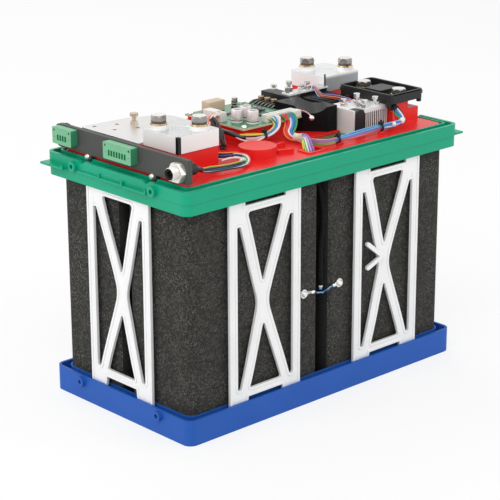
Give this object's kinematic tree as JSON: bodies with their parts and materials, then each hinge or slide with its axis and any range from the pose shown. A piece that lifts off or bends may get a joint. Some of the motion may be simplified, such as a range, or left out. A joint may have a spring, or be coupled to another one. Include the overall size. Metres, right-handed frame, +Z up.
{
  "type": "lithium-ion battery",
  "caption": "Opened rechargeable battery: foam-clad cells between a blue tray and a green rim, tied by white crossed frames, with terminals and control parts on a red deck.",
  "frame": {"origin": "centre of the underside of the base tray, on the ground", "axes": "+X along the long side towards the end with the main fuse, -X towards the connector panel, -Y towards the long side seen in the picture, +Z up"},
  "size_m": [0.377, 0.203, 0.2911],
  "materials": {
    "tray_blue": "moulded blue plastic",
    "rim_green": "moulded green plastic, satin gloss",
    "deck_red": "moulded red plastic, gloss",
    "frame_white": "white coating over pressed metal",
    "foam_black": "moulded bead foam",
    "cell_can": "drawn cell can",
    "bare_aluminium": "milled and polished",
    "panel_black": "matt moulding",
    "black_plastic": "satin moulding",
    "header_green": "light green moulding",
    "plated_steel": "zinc plated",
    "washer_brass": "turned brass",
    "board_green": "solder-masked circuit board",
    "capacitor_can": "aluminium can on a white base",
    "film_beige": "cast box",
    "connector_white": "natural white moulding",
    "wire_colours": "coloured wire insulation",
    "cable_black": "black cable sheath"
  },
  "bodies": {
    "root": {"base_tray": "tray_blue", "top_rim": "rim_green", "deck": "deck_red", "side_frame_front_left": "frame_white", "side_frame_front_right": "frame_white", "side_frame_back_left": "frame_white", "side_frame_back_right": "frame_white", "end_frame_left": "frame_white", "end_frame_right": "frame_white", "foam_jacket_front_left": "foam_black", "foam_jacket_front_right": "foam_black", "foam_jacket_back_left": "foam_black", "foam_jacket_back_right": "foam_black", "cell_front_left": "cell_can", "cell_front_right": "cell_can", "cell_back_left": "cell_can", "cell_back_right": "cell_can", "cell_link_left": "bare_aluminium", "cell_link_right": "bare_aluminium", "cell_link_back": "bare_aluminium", "connector_panel": "panel_black", "header_4_pole": "header_green", "header_7_pole": "header_green", "bus_connector_body": "plated_steel", "bus_connector_nut": "plated_steel", "bus_connector_insert": "black_plastic", "mounting_plate": "bare_aluminium", "plate_stud": "plated_steel", "terminal_block_left": "bare_aluminium", "terminal_block_right": "bare_aluminium", "corner_strip": "black_plastic", "terminal_bolts": "plated_steel", "flat_washers": "washer_brass", "spring_washers": "washer_brass", "fuse_holder": "black_plastic", "main_fuse": "black_plastic", "control_board": "board_green", "capacitors": "capacitor_can", "film_capacitor": "film_beige", "board_connectors": "connector_white", "wire_header": "connector_white", "small_screws": "plated_steel", "power_board": "board_green", "contact_fingers": "black_plastic", "relay_busbar": "bare_aluminium", "contactor": "black_plastic", "relay_bar": "black_plastic", "relay_studs": "plated_steel", "heat_sink": "bare_aluminium", "sink_insert": "black_plastic", "sink_studs": "plated_steel", "sensor_terminals": "plated_steel", "sensor_lead": "cable_black", "sensor_wires": "wire_colours", "front_harness": "wire_colours", "board_harness": "wire_colours", "bus_cable": "cable_black", "power_leads": "cable_black", "relay_wires": "wire_colours", "cable_ties": "black_plastic"}
  },
  "joints": []
}
